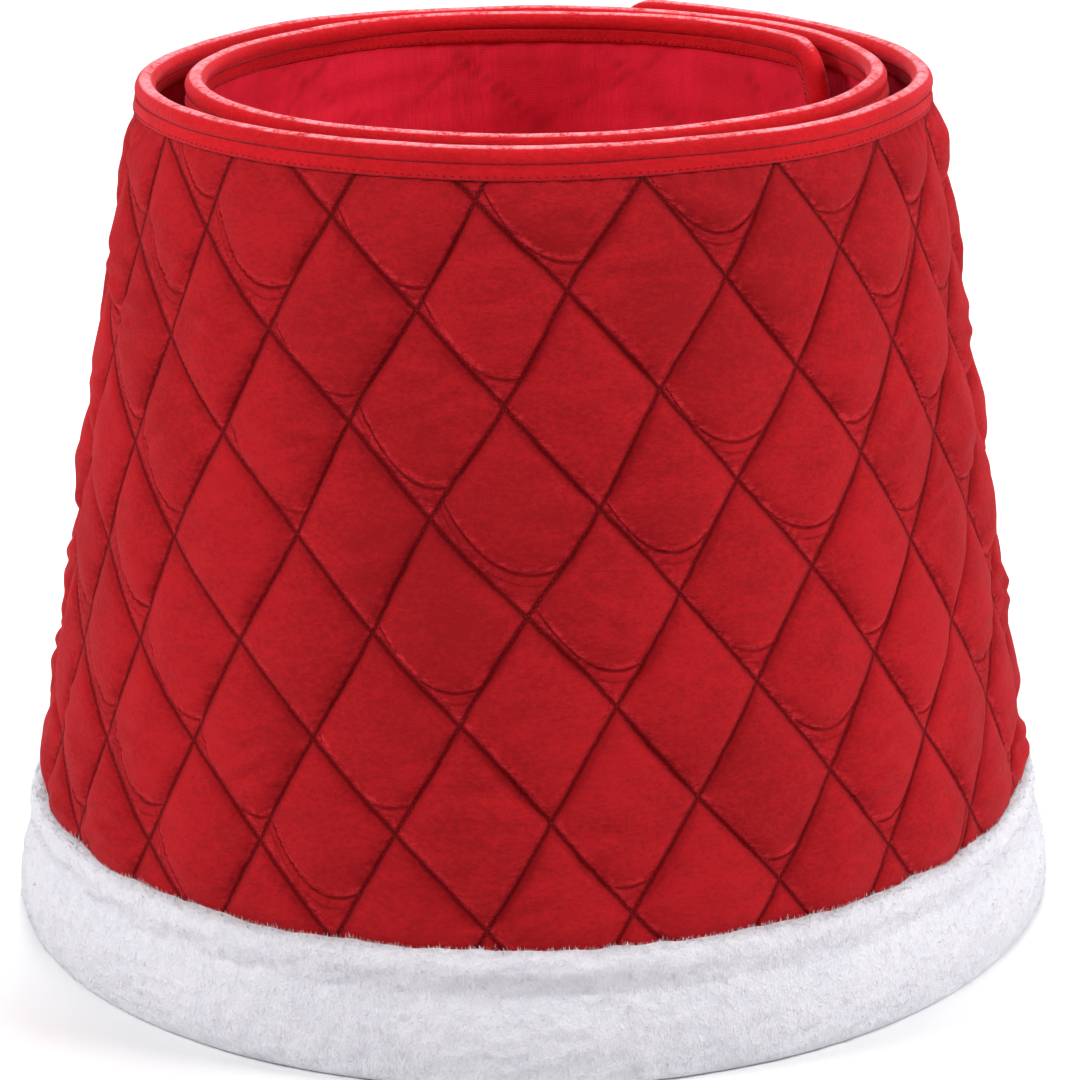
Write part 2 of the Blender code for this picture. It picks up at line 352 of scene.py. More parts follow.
# ---------------------------------------------------------------- meshes


def finish_mesh(name, points, faces, normals, materials, indices=None, marks=None):
    """An object from arrays, smooth, with its own normals where they are given."""
    mesh = bpy.data.meshes.new(name)
    mesh.vertices.add(len(points))
    mesh.vertices.foreach_set("co", np.asarray(points, np.float32).ravel())
    sides = faces.shape[1]
    mesh.loops.add(faces.size)
    mesh.loops.foreach_set("vertex_index", faces.astype(np.int32).ravel())
    mesh.polygons.add(len(faces))
    mesh.polygons.foreach_set("loop_start", np.arange(0, faces.size, sides, dtype=np.int32))
    for finish in materials:
        mesh.materials.append(finish)
    if indices is not None:
        mesh.polygons.foreach_set("material_index", indices.astype(np.int32))
    mesh.update(calc_edges=True)
    mesh.shade_smooth()
    for mark, values in (marks or {}).items():
        layer = mesh.attributes.new(mark, "FLOAT", "POINT")
        layer.data.foreach_set("value", np.asarray(values, np.float32).ravel())
    if normals is not None:
        mesh.normals_split_custom_set_from_vertices(np.asarray(normals, np.float32).reshape(-1, 3))
    made = bpy.data.objects.new(name, mesh)
    bpy.context.scene.collection.objects.link(made)
    return made


def grid_faces(columns, rows, start=0):
    """The four-sided faces of a grid of points, column by column."""
    corner = np.arange(columns * rows).reshape(columns, rows) + start
    sides = (corner[:-1, :-1], corner[1:, :-1], corner[1:, 1:], corner[:-1, 1:])
    return np.stack(sides, axis=-1).reshape(-1, 4)


def widened(values):
    """Sorted values with one more step at each end."""
    values = np.asarray(values, float)
    return np.concatenate([[2 * values[0] - values[1]], values, [2 * values[-1] - values[-2]]])


def unit(directions):
    return directions / np.maximum(np.linalg.norm(directions, axis=-1, keepdims=True), 1e-12)


def grid_normals(points):
    """The normals of a grid of points, which comes back one step smaller on each side."""
    along = points[2:, 1:-1] - points[:-2, 1:-1]
    up = points[1:-1, 2:] - points[1:-1, :-2]
    return unit(np.cross(along, up))


def cloth_grid(columns, rows, at):
    """(points, normals, faces) of a sheet whose point at (column, row) is at(column, row)."""
    wide, tall = np.meshgrid(widened(columns), widened(rows), indexing="ij")
    points = at(wide, tall)
    normals = grid_normals(points)
    inner = points[1:-1, 1:-1]
    return inner.reshape(-1, 3), normals.reshape(-1, 3), grid_faces(len(columns), len(rows))


STITCH_POINTS = 5


def spindles(starts, ends, normals, radius):
    """(points, faces) of one short raised stitch from each start to its end."""
    middle = (starts + ends) / 2 + normals * radius
    side = unit(np.cross(ends - starts, normals)) * radius
    lift = normals * radius * 0.8
    sunk = normals * radius * 0.9
    corners = [starts - sunk, ends - sunk, middle + side - sunk, middle + lift, middle - side - sunk]
    points = np.stack(corners, axis=1).reshape(-1, 3)
    base = np.array([[0, 2, 3], [0, 3, 4], [1, 3, 2], [1, 4, 3]])
    faces = (base[None] + STITCH_POINTS * np.arange(len(starts))[:, None, None]).reshape(-1, 3)
    return points, faces


def as_triangles(faces):
    return np.concatenate([faces[:, [0, 1, 2]], faces[:, [0, 2, 3]]])


def stitched_cloth(name, cloth, sheet, marks, stitches, radius):
    """A sheet of cloth with raised stitches joined on, all as triangles."""
    points, normals, faces = sheet
    starts, ends, outward = stitches
    more, stitch_faces = spindles(starts, ends, outward, radius)
    middle = np.repeat((starts + ends) / 2, STITCH_POINTS, axis=0)
    rounded = unit(more - middle + np.repeat(outward, STITCH_POINTS, axis=0) * radius * 0.5)
    faces = as_triangles(faces)
    indices = np.concatenate([np.zeros(len(faces)), np.ones(len(stitch_faces))])
    faces = np.concatenate([faces, stitch_faces + len(points)])
    unmarked = np.zeros(len(more))
    marks = {mark: np.concatenate([values.ravel(), unmarked]) for mark, values in marks.items()}
    points, normals = np.concatenate([points, more]), np.concatenate([normals, rounded])
    return finish_mesh(name, points, faces, normals, [cloth, THREAD], indices, marks)


# ---------------------------------------------------------------- finishes


class Level:
    """A number that changes over a surface. Sums on it add Math nodes."""

    def __init__(self, finish, socket):
        self.finish = finish
        self.socket = socket

    def math(self, operation, *values):
        settings = {"operation": operation, "use_clamp": False}
        node = self.finish.node("ShaderNodeMath", settings, dict(enumerate(values)))
        return Level(self.finish, node.outputs[0])

    def __add__(self, other):
        return self.math("ADD", self, other)

    __radd__ = __add__

    def __sub__(self, other):
        return self.math("SUBTRACT", self, other)

    def __rsub__(self, other):
        return self.math("SUBTRACT", other, self)

    def __mul__(self, other):
        return self.math("MULTIPLY", self, other)

    __rmul__ = __mul__

    def absolute(self):
        return self.math("ABSOLUTE", self)

    def between(self, low, high):
        """0 below low, 1 above high, smooth between."""
        settings = {"interpolation_type": "SMOOTHSTEP"}
        node = self.finish.node("ShaderNodeMapRange", settings, {0: self, 1: low, 2: high})
        return Level(self.finish, node.outputs[0])


class Finish:
    """A material with one Principled shader, and the nodes that feed it."""

    def __init__(self, name, **constants):
        self.material = bpy.data.materials.new(name)
        self.material.use_nodes = True
        self.tree = self.material.node_tree
        self.shader = self.tree.nodes["Principled BSDF"]
        for socket, value in constants.items():
            self.shader.inputs[socket.replace("_", " ")].default_value = value

    def node(self, kind, settings=None, inputs=None):
        """A node with its settings set, and its sockets given values or links."""
        made = self.tree.nodes.new(kind)
        for setting, value in (settings or {}).items():
            setattr(made, setting, value)
        for socket, value in (inputs or {}).items():
            source = getattr(value, "socket", value)
            if isinstance(source, bpy.types.NodeSocket):
                self.tree.links.new(source, made.inputs[socket])
            else:
                made.inputs[socket].default_value = source
        return made

    def feed(self, socket, value):
        self.tree.links.new(getattr(value, "socket", value), self.shader.inputs[socket])

    def place(self, stretch=(1, 1, 1)):
        coordinates = self.node("ShaderNodeTexCoord").outputs["Object"]
        settings = {"operation": "MULTIPLY"}
        return self.node("ShaderNodeVectorMath", settings, {0: coordinates, 1: stretch}).outputs[0]

    def noise(self, scale, detail=3.0, roughness=0.55, stretch=(1, 1, 1), distortion=0.0):
        inputs = {"Vector": self.place(stretch), "Scale": scale, "Detail": detail}
        inputs |= {"Roughness": roughness, "Distortion": distortion}
        return Level(self, self.node("ShaderNodeTexNoise", None, inputs).outputs[0])

    def wave(self, direction, scale, distortion=0.0):
        settings = {"wave_type": "BANDS", "bands_direction": direction, "wave_profile": "SIN"}
        inputs = {"Vector": self.place(), "Scale": scale, "Distortion": distortion}
        return Level(self, self.node("ShaderNodeTexWave", settings, inputs).outputs[1])

    def mark(self, name):
        node = self.node("ShaderNodeAttribute", {"attribute_name": name})
        return Level(self, node.outputs["Fac"])

    def line(self, mark, stray):
        """Painted shade in a seam: 1 on the seam, where this diamond coordinate is whole, fading to 0
        beside it.
        """
        share = self.mark(mark) + 0.5
        away = (share.math("FRACT", share) - 0.5 + stray).absolute() * LINE_SPACING
        return (1 - away.between(0.0001, 0.0018)) * 0.6 + (1 - away.between(0.0004, 0.0060)) * 0.3

    # Painted shade along the seams of both diamond coordinates
    def seam_shade(self, noise):
        stray = (noise - 0.5) * 0.045
        first = self.line("one", stray)
        return first.math("MAXIMUM", first, self.line("two", stray))

    def painted_edge_highlight(self):
        """A painted highlight: 1 just above a seam or fold, where a puff turns under."""
        edges = []
        for mark, strength in (("one", 0.75), ("two", 0.35)):
            share = self.mark(mark)
            above = share.math("FRACT", share) * LINE_SPACING
            edges.append(above.between(0.0010, 0.0022) * (1 - above.between(0.0022, 0.0060)) * strength)
        above = self.mark("fold")
        edges.append(above.between(0.0008, 0.0020) * (1 - above.between(0.0020, 0.0060)) * 0.6)
        return edges[0] + edges[1] + edges[2]

    def fold_shade(self):
        """Painted shade: 1 along the sagging folds at the foot of each diamond."""
        above = self.mark("fold")
        first = 1 - above.absolute().between(0.0001, 0.0013)
        second = 1 - (above + FOLD_SPACING).absolute().between(0.0001, 0.0010)
        return first.math("MAXIMUM", first * 0.75, second * 0.4)

    def upness(self):
        """How far the surface faces up, from 0 to 1."""
        normal = self.node("ShaderNodeNewGeometry").outputs["Normal"]
        split = self.node("ShaderNodeSeparateXYZ", None, {0: normal})
        return Level(self, split.outputs[2]).between(0.0, 1.0)

    def mix(self, share, first, second):
        """The colour between two, each a linear (r, g, b) or another mix."""
        settings = {"data_type": "RGBA", "blend_type": "MIX"}
        first, second = ((*c, 1) if isinstance(c, tuple) else c for c in (first, second))
        return self.node("ShaderNodeMix", settings, {0: share, 6: first, 7: second}).outputs[2]

    def bump(self, *heights):
        """Relief from (height, distance in metres) pairs, each on top of the last."""
        normal = None
        for height, distance in heights:
            inputs = {"Height": height, "Distance": distance, "Strength": 1.0}
            if normal is not None:
                inputs["Normal"] = normal
            normal = self.node("ShaderNodeBump", None, inputs).outputs[0]
        self.feed("Normal", normal)
        return self.material


def velvet_finish(name, body, lit, shade_colour, highlight_colour, quilted=False, **sheen):
    """Pile velvet: a mottled, level nap, with painted shade in its seams, folds and grooves, and painted
    highlights.
    """
    shine = {"Specular_IOR_Level": 0.06, "Specular_Tint": (1.0, 0.25, 0.28, 1)}
    finish = Finish(name, Metallic=0.0, **shine, **sheen)
    clouds = finish.noise(9.0, 3.0, 0.55)
    nap = finish.noise(70.0, 5.0, 0.7, (0.6, 0.6, 1.5), 0.5)
    grain = finish.noise(430.0, 4.0, 0.8, (0.7, 0.7, 1.2))
    tone = finish.mix((clouds * 0.30 + nap * 0.22 + grain * 0.48).between(0.41, 0.59), body, lit)
    if quilted:
        # painted shade along the seams and the sagging folds
        seams = finish.seam_shade(nap)
        dark = seams.math("MAXIMUM", seams, finish.fold_shade() * (nap.between(0.34, 0.56) * 0.5 + 0.5))
        # a painted highlight just above the seams and folds, where the puffs turn under
        painted_highlight = finish.painted_edge_highlight() * (grain * 0.6 + nap * 0.4).between(0.44, 0.60)
    else:
        # painted shade in the binding's creases at the roll's neck and along its hems
        dark = finish.mark("groove_shade") * 0.8
        # a painted highlight along the roll's upward-facing top
        painted_highlight = finish.upness().between(0.86, 0.99) * (grain * 0.6 + nap * 0.4).between(0.38, 0.60) * 0.9
    # the painted highlight is mixed in over the mottled tone
    tone = finish.mix(painted_highlight, tone, highlight_colour)
    # the painted shade darkens the colour last
    finish.feed("Base Color", finish.mix(dark, tone, shade_colour))
    finish.feed("Roughness", nap * 0.2 + 0.6)
    fibres = finish.noise(1500.0, 2.0, 0.6)
    lumps = 0.0010 if quilted else 0.0003
    return finish.bump((1 - dark, 0.0012), (nap, lumps), (grain, 0.00075), (fibres, 0.0002))


def lining_finish():
    """Plain woven lining with a low sheen and pulled, upright creases."""
    sheen = {"Sheen_Weight": 0.9, "Sheen_Roughness": 0.4, "Sheen_Tint": (1.0, 0.06, 0.16, 1)}
    finish = Finish("red_lining", Metallic=0.0, Specular_IOR_Level=0.08, **sheen)
    clouds = finish.noise(9.0, 3.0)
    streaks = finish.noise(60.0, 4.0, 0.6, (1, 1, 0.08))
    slubs = finish.noise(500.0, 2.0, 0.6, (1, 1, 0.25))
    tone = finish.mix((clouds * 0.5 + streaks * 0.5).between(0.38, 0.62), LINING_RED, LINING_LIT_RED)
    # painted shade along the lining's quilting seams
    tone = finish.mix(finish.mark("groove_shade") * 0.7, tone, LINING_SHADE_RED)
    finish.feed("Base Color", tone)
    finish.feed("Roughness", slubs * 0.2 + 0.5)
    weave = finish.wave("Z", 330.0, 0.4) * 0.5 + finish.noise(900.0, 1.0) * 0.5
    return finish.bump((streaks, 0.0012), (slubs, 0.0004), (weave, 0.00015))


def fur_finish():
    """Short plush pile: a grey and white mottle, with hairs whiter toward their tips; the greyer roots are
    partly painted shade.
    """
    sheen = {"Sheen_Weight": 0.2, "Sheen_Roughness": 0.5, "Sheen_Tint": (1, 1, 1, 1)}
    finish = Finish("white_plush", Metallic=0.0, Specular_IOR_Level=0.1, **sheen)
    tufts = finish.noise(140.0, 4.0, 0.65)
    clouds = finish.noise(14.0, 3.0)
    strands = finish.noise(900.0, 3.0, 0.75, (1, 1, 0.4))
    shade = (tufts * 0.35 + clouds * 0.25 + strands * 0.4).between(0.36, 0.62)
    tone = finish.mix(shade, PLUSH_GREY, PLUSH_WHITE)
    # each hair whiter toward its tip: partly random tone, partly painted shade at the roots
    tone = finish.mix(finish.mark("pile"), tone, PLUSH_TIP)
    finish.feed("Base Color", tone)
    finish.feed("Roughness", strands * 0.15 + 0.8)
    return finish.bump((tufts, 0.0018), (strands, 0.0008))


def plain_cloth(name, dark, pale, scale, stretch=(1, 1, 1), relief=0.0005, **sheen):
    """A matt cloth of two close tones, with its threads or fibres in relief."""
    finish = Finish(name, Metallic=0.0, Specular_IOR_Level=0.25, **sheen)
    threads = finish.noise(scale, 3.0, 0.6, stretch)
    clouds = finish.noise(25.0, 2.0)
    finish.feed("Base Color", finish.mix((threads * 0.6 + clouds * 0.4).between(0.35, 0.65), dark, pale))
    finish.feed("Roughness", threads * 0.2 + 0.65)
    return finish.bump((threads, relief))


def tape_finish(name, dark, pale, loops):
    """Woven closing tape, with rows of hooks or a bed of loops."""
    finish = Finish(name, Metallic=0.0, Specular_IOR_Level=0.35)
    rows = finish.wave("Z", 190.0, 0.2)
    bed = finish.noise(700.0, 3.0, 0.7)
    pile = bed * loops + rows * (1 - loops)
    finish.feed("Base Color", finish.mix(pile.between(0.3, 0.7), dark, pale))
    finish.feed("Roughness", bed * 0.25 + 0.5)
    return finish.bump((pile, 0.0009), (bed, 0.0003))


# painted shade colour for the velvet's seams and folds and the binding's creases
SHADE_RED = (0.115, 0.0026, 0.0042)
BODY_RED = (0.310, 0.0092, 0.0128)
LIT_RED = (0.450, 0.0125, 0.0170)
# painted highlight colour just above the velvet's seams and folds
VELVET_HIGHLIGHT_RED = (0.680, 0.0300, 0.0420)
ROLL_RED = (0.480, 0.0100, 0.0150)
ROLL_LIT_RED = (0.620, 0.0135, 0.0200)
# painted highlight colour along the top of the piped roll
ROLL_HIGHLIGHT_PINK = (0.900, 0.3300, 0.3700)
# painted shade colour for the lining's seams
LINING_SHADE_RED = (0.150, 0.0030, 0.0060)
LINING_RED = (0.600, 0.0140, 0.0300)
LINING_LIT_RED = (0.760, 0.0180, 0.0480)
PLUSH_GREY = (0.740, 0.7250, 0.7950)
PLUSH_WHITE = (0.840, 0.8300, 0.8700)
PLUSH_TIP = (0.930, 0.9250, 0.9350)
WALL_SHEEN = {"Sheen_Weight": 0.42, "Sheen_Roughness": 0.30, "Sheen_Tint": (1.0, 0.06, 0.08, 1)}
ROLL_SHEEN = {"Sheen_Weight": 0.70, "Sheen_Roughness": 0.20, "Sheen_Tint": (1.0, 0.22, 0.27, 1)}

VELVET = velvet_finish("quilted_red_velvet", BODY_RED, LIT_RED, SHADE_RED, VELVET_HIGHLIGHT_RED, True, **WALL_SHEEN)
BINDING = velvet_finish("binding_red_velvet", ROLL_RED, ROLL_LIT_RED, SHADE_RED, ROLL_HIGHLIGHT_PINK, **ROLL_SHEEN)
LINING = lining_finish()
FUR = fur_finish()
THREAD = plain_cloth("dark_red_thread", (0.110, 0.0025, 0.004), (0.230, 0.006, 0.009), 1500.0)
BATTING = plain_cloth("white_batting", (0.66, 0.65, 0.62), (0.84, 0.83, 0.80), 160.0, relief=0.002)
CORD = plain_cloth("cotton_piping_cord", (0.56, 0.52, 0.44), (0.78, 0.74, 0.66), 600.0)
HOOKS = tape_finish("red_hook_tape", (0.110, 0.003, 0.005), (0.330, 0.010, 0.016), 0.25)
LOOPS = tape_finish("red_loop_tape", (0.150, 0.004, 0.007), (0.400, 0.014, 0.022), 0.85)


# ---------------------------------------------------------------- the segments

# Each visible segment holds one hinge at most, and ends short of the next.
# name: (first turn, last turn, hinge turn, body before the hinge, body after it)
SEGMENTS = {
    "inner_end": (INNER_END, INNER_HINGE + BEND_REACH + 2, INNER_HINGE, "inner_end", "coil"),
    "main": (INNER_HINGE + BEND_REACH + 2, WRAP_HINGE - BEND_REACH - 2, None, "coil", "coil"),
    "wrap": (WRAP_HINGE - BEND_REACH - 2, TAIL_HINGE - BEND_REACH - 2, WRAP_HINGE, "coil", "outer_wrap"),
    "tail": (TAIL_HINGE - BEND_REACH - 2, OUTER_END, TAIL_HINGE, "outer_wrap", "outer_tail"),
}


def go_with_bodies(piece, segment):
    """Rides on the segment's body where it has no hinge; where it has one, the piece only gets its
    transform baked in.
    """
    _, _, hinge, before, after = SEGMENTS[segment]
    if hinge is None:
        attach(piece, before)
        return
    middle = HEIGHT / 2
    start, end = (level_place(hinge + way * BEND_REACH, middle, 0).tolist() for way in (-1, 1))
    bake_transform(piece)
    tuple(start)
    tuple(end)


def stand_for(node, piece, segment):
    """Puts the piece in place of the segment's plain one, on the segment's body where it has no hinge."""
    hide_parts(f"{node}_{segment}")
    go_with_bodies(piece, segment)
    return piece


# The inner turn's outer face stands against the next turn up to here, so it needs less detail
HIDDEN_UNTIL = 415.0
MEAN_RADIUS = 0.22


def turns_of(segment, step, hidden=1.7):
    """Turns from end to end of a segment, this far apart in metres at the rim, or more where hidden."""
    start, end = SEGMENTS[segment][:2]
    pieces = [(start, end)]
    if start < HIDDEN_UNTIL < end:
        pieces = [(start, HIDDEN_UNTIL), (HIDDEN_UNTIL, end)]
    found = []
    for low, high in pieces:
        size = step * (hidden if high <= HIDDEN_UNTIL else 1.0) / FINE
        count = max(2, round(math.radians(high - low) * MEAN_RADIUS / size))
        found.append(np.linspace(low, high, count + 1)[:-1])
    return np.concatenate([*found, [end]])


def free_end(segment):
    """(the turn of a segment's free end, the way into the cloth from it), or None."""
    return {"inner_end": (INNER_END, 1), "tail": (OUTER_END, -1)}.get(segment)


def cloth_top(turn, inset):
    """The upper edge of cloth cut this far inside the roll's middle, with its rounded end corners."""
    inner = CORNER_RADIUS - inset
    rim_arc = np.radians(rim_radius(turn))
    from_end = np.minimum(turn - INNER_END, OUTER_END - turn) * rim_arc
    into_corner = np.clip((CORNER_RADIUS - from_end) / inner, 0, 0.98)
    return ROLL_HEIGHT - CORNER_RADIUS + inner * np.sqrt(1 - into_corner**2)


def cloth_turns(segment, step, inset, hidden=1.7):
    """A segment's turns, cut back from a free end by the inset."""
    turns = turns_of(segment, step, hidden)
    if free_end(segment) is None:
        return turns
    edge, way = free_end(segment)
    cut = beside(edge, ROLL_HEIGHT, way * inset)
    inside = turns[(turns > cut + 0.2) if way == 1 else (turns < cut - 0.2)]
    return np.concatenate([[cut], inside] if way == 1 else [inside, [cut]])


def wall_heights(shares, turn, low, inset):
    """Heights at shares of the way up the cloth."""
    return low + shares * (cloth_top(turn, inset) - low)


# ---------------------------------------------------------------- the pieces

WALL_BOTTOM = 0.0041
STITCH_PITCH, STITCH_LENGTH, STITCH_RADIUS = 0.0034, 0.0026, 0.00042
STITCH_PROUD = 0.0001
INNER_STITCHES_UNTIL = 124.0  # the inner end's outer face is seen up to this turn
VELVET_STEP, VELVET_ROWS = 0.0022, 150
TUCKED_UNDER_TRIM = 0.012
TUCKED_ROWS = [-0.145, -0.07]


def stitch_shows(segment, turn, height):
    """Whether a stitch lies on the segment's open wall, clear of the binding and the trim."""
    low, high = SEGMENTS[segment][:2]
    inset = EDGE_INSET + FLANGE_WIDTH
    shown = (turn > low) & (turn < high) & (height > TRIM_HEIGHT + MM)
    shown &= (turn > HIDDEN_UNTIL) | (turn < INNER_STITCHES_UNTIL)
    shown &= height < cloth_top(turn, inset) - MM
    if free_end(segment):
        edge, way = free_end(segment)
        shown &= way * (turn - beside(edge, ROLL_HEIGHT, way * inset)) > 0
    return shown


def quilting_stitches(segment):
    """The starts and ends, as (turn, height), of the diamond stitching over a segment."""
    low, high = SEGMENTS[segment][:2]
    corner_turns, corner_heights = np.meshgrid(np.linspace(low, high, 60), (0.0, HEIGHT))
    ones, twos = pattern_place(corner_turns, corner_heights)
    pitch, length = STITCH_PITCH / SEAM_LENGTH, STITCH_LENGTH / SEAM_LENGTH
    starts, ends = [], []
    for family, (fixed, running) in enumerate(((ones, twos), (twos, ones))):
        lines = np.arange(math.ceil(fixed.min()), math.floor(fixed.max()) + 1)
        places = np.arange(math.floor(running.min()), math.ceil(running.max()), pitch)
        line, place = (grid.ravel() for grid in np.meshgrid(lines, places, indexing="ij"))
        for share, kept in ((0.0, starts), (length, ends)):
            one, two = (line, place + share) if family == 0 else (place + share, line)
            kept.append(from_pattern(one, two))
    starts, ends = np.concatenate(starts), np.concatenate(ends)
    shown = stitch_shows(segment, *starts.T)
    return starts[shown], ends[shown]


def outward_at(turn):
    """The level direction away from the coil's axis, tipped up as the wall leans."""
    lean = np.arctan(slope(turn))
    level = np.radians(turn)
    return np.stack([np.cos(level) * np.cos(lean), np.sin(level) * np.cos(lean), np.sin(lean)], axis=-1)


def quilted_velvet(segment):
    """The velvet face with its puffs, sagging folds and stitched seams."""
    low = TRIM_HEIGHT - TUCKED_UNDER_TRIM
    shares = np.concatenate([TUCKED_ROWS, np.linspace(0, 1, int(VELVET_ROWS * FINE))])
    turns = cloth_turns(segment, VELVET_STEP, EDGE_INSET, 4.0)

    def at(turn, share):
        height = wall_heights(share, turn, low, EDGE_INSET)
        return wall_place(turn, height, velvet_offset(turn, height))

    wide, tall = np.meshgrid(turns, shares, indexing="ij")
    heights = wall_heights(tall, wide, low, EDGE_INSET)
    (one, two), _, over, down, luck = quilt_places(wide, heights)
    fold = np.clip(fold_height(wide, over, down, luck), -FOLD_LIMIT, FOLD_LIMIT)
    marks = {"one": one, "two": two, "fold": fold}
    starts, ends = quilting_stitches(segment)
    sewn = [wall_place(t, h, velvet_offset(t, h) + STITCH_PROUD) for t, h in (starts.T, ends.T)]
    stitches = (*sewn, outward_at(starts[:, 0]))
    sheet = cloth_grid(turns, shares, at)
    piece = stitched_cloth(f"quilted_velvet_{segment}", VELVET, sheet, marks, stitches, STITCH_RADIUS)
    return stand_for("velvet_face", piece, segment)


LINING_STEP, LINING_ROWS = 0.0042, 90
LINING_PUFF, LINING_DOME, LINING_GROOVE = 0.63 * MM, 0.012, 0.0011
LINING_SINK = -0.6 * MM


def lining_relief(turn, height):
    """How far the lining stands in from its flat place, by shallow quilting and upright pulls."""
    x, y = flat_place(turn, height)
    puff = LINING_PUFF * (1 - np.exp(-((nearest_seam(turn, height) / LINING_DOME) ** PUFF_POWER)))
    pulls = 0.40 * MM * wander(x * 2.6, y * 0.25, 0.030, 21)
    pulls += 0.22 * MM * wander(x * 3.0, y * 0.35, 0.012, 22)
    near_rim = bell(np.maximum(0, FLANGE_EDGE - height), 0.05)
    return np.maximum(LINING_SINK, puff + pulls * (0.7 + 0.8 * near_rim))


def smooth_lining(segment):
    """The lining, which faces the coil's middle."""
    shares = np.linspace(0, 1, int(LINING_ROWS * FINE))
    turns = cloth_turns(segment, LINING_STEP, EDGE_INSET)

    def at(turn, share):
        height = wall_heights(share, turn, WALL_BOTTOM, EDGE_INSET)
        return wall_place(turn, height, -WALL_HALF - lining_relief(turn, height))

    points, normals, faces = cloth_grid(turns, shares, at)
    wide, tall = np.meshgrid(turns, shares, indexing="ij")
    gaps = nearest_seam(wide, wall_heights(tall, wide, WALL_BOTTOM, EDGE_INSET))
    # painted shade along the lining's seams, this wide
    marks = {"groove_shade": bell(gaps, LINING_GROOVE) * 0.5}
    name = f"woven_lining_{segment}"
    piece = finish_mesh(name, points, faces[:, ::-1], -normals, [LINING], None, marks)
    return stand_for("lining", piece, segment)


def closed_sweep(name, columns, ring_count, at, finish):
    """A closed tube: at(column, share round its section), with both ends capped."""
    shares = np.arange(ring_count) / ring_count
    wide, round_it = np.meshgrid(columns, shares, indexing="ij")
    rings = at(wide, round_it)
    points = rings.reshape(-1, 3)
    corner = np.arange(len(points)).reshape(len(columns), ring_count)
    after = np.roll(corner, -1, axis=1)
    sides = (corner[:-1], corner[1:], after[1:], after[:-1])
    faces = as_triangles(np.stack([side.ravel() for side in sides], axis=-1))
    caps = []
    for ring, flip in ((0, False), (-1, True)):
        centre = len(points)
        points = np.concatenate([points, rings[ring].mean(axis=0, keepdims=True)])
        cap = np.stack([np.full(ring_count, centre), corner[ring], after[ring]], axis=-1)
        caps.append(cap[:, ::-1] if flip else cap)
    return finish_mesh(name, points, np.concatenate([faces, *caps]), None, [finish])


BATTING_STEP = 0.012
BATTING_INSET = EDGE_INSET + 0.0015
BATTING_BOTTOM = WALL_BOTTOM + 0.002
BATTING_INNER, BATTING_OUTER = -0.0014, 0.0006


def soft_batting(segment):
    """The batting between the velvet and the lining."""
    turns = cloth_turns(segment, BATTING_STEP, BATTING_INSET)
    section = [(share, BATTING_INNER) for share in (0.0, 0.5, 1.0)]
    section += [(share, BATTING_OUTER) for share in (1.0, 0.5, 0.0)]
    shares, offsets = np.array(section).T

    def at(turn, share):
        index = np.round(share * len(section)).astype(int)
        height = wall_heights(shares[index], turn, BATTING_BOTTOM, BATTING_INSET)
        return wall_place(turn, height, offsets[index])

    piece = closed_sweep(f"soft_batting_{segment}", turns, len(section), at, BATTING)
    return stand_for("batting", piece, segment)


ROLL_BOTTOM = TRIM_HEIGHT - 0.004
END_ROWS, CORNER_ROWS = 90, 15


def roll_stations(segment, step):
    """(turn, height, share inward along the wall, share inward down it) along a segment's piped roll."""
    turns = turns_of(segment, step)
    rim = np.stack([turns, np.full(len(turns), ROLL_HEIGHT), 0 * turns, 0 * turns + 1], axis=-1)
    if free_end(segment) is None:
        return rim
    edge, way = free_end(segment)
    bends = np.linspace(0, math.pi / 2, CORNER_ROWS)
    turn = beside(edge, ROLL_HEIGHT, way * CORNER_RADIUS * (1 - np.cos(bends)))
    height = ROLL_HEIGHT - CORNER_RADIUS * (1 - np.sin(bends))
    corner = np.stack([turn, height, way * np.cos(bends), np.sin(bends)], axis=-1)
    heights = np.linspace(ROLL_BOTTOM, ROLL_HEIGHT - CORNER_RADIUS, int(END_ROWS * FINE))[:-1]
    upright = np.stack([0 * heights + edge, heights, 0 * heights + way, 0 * heights], axis=-1)
    past = beside(edge, ROLL_HEIGHT, way * (CORNER_RADIUS + step / 2))
    if way == 1:
        return np.concatenate([upright, corner, rim[turns > past]])
    return np.concatenate([rim[turns < past], corner[::-1], upright[::-1]])


def station_at(stations, column):
    """The station at a column, or between two of them."""
    columns = np.arange(len(stations))
    return np.stack([np.interp(column, columns, part) for part in stations.T], axis=-1)


def roll_place(station, inward, offset):
    """A place on the binding: inward from the roll's middle, and offset square to the wall."""
    turn, height, along, down = np.moveaxis(station, -1, 0)
    lean = np.arctan(slope(turn))
    lower = height - inward * down * np.cos(lean) + offset * np.sin(lean)
    return level_place(beside(turn, lower, inward * along), lower, offset)


def run_along(stations):
    """How far along the roll each station is."""
    steps = np.linalg.norm(np.diff(roll_place(stations, 0, 0), axis=0), axis=1)
    return np.concatenate([[0], np.cumsum(steps)])


BINDING_STEP = 0.0030
FLANGE_THICKNESS = 0.0016
# The binding's rows with painted shade, at the roll's neck and along both hems, and how strong it is
NECK_ROWS, HEM_ROWS = [6, 7, -8, -7], [0, 1, -2, -1]
GROOVE_SHADE = 0.75
HEM_STITCH_ROW = 2.9
HEM_STITCH_START, HEM_STITCH_PITCH, HEM_STITCH_LENGTH, HEM_STITCH_RADIUS = 0.002, 0.004, 0.0029, 0.00038


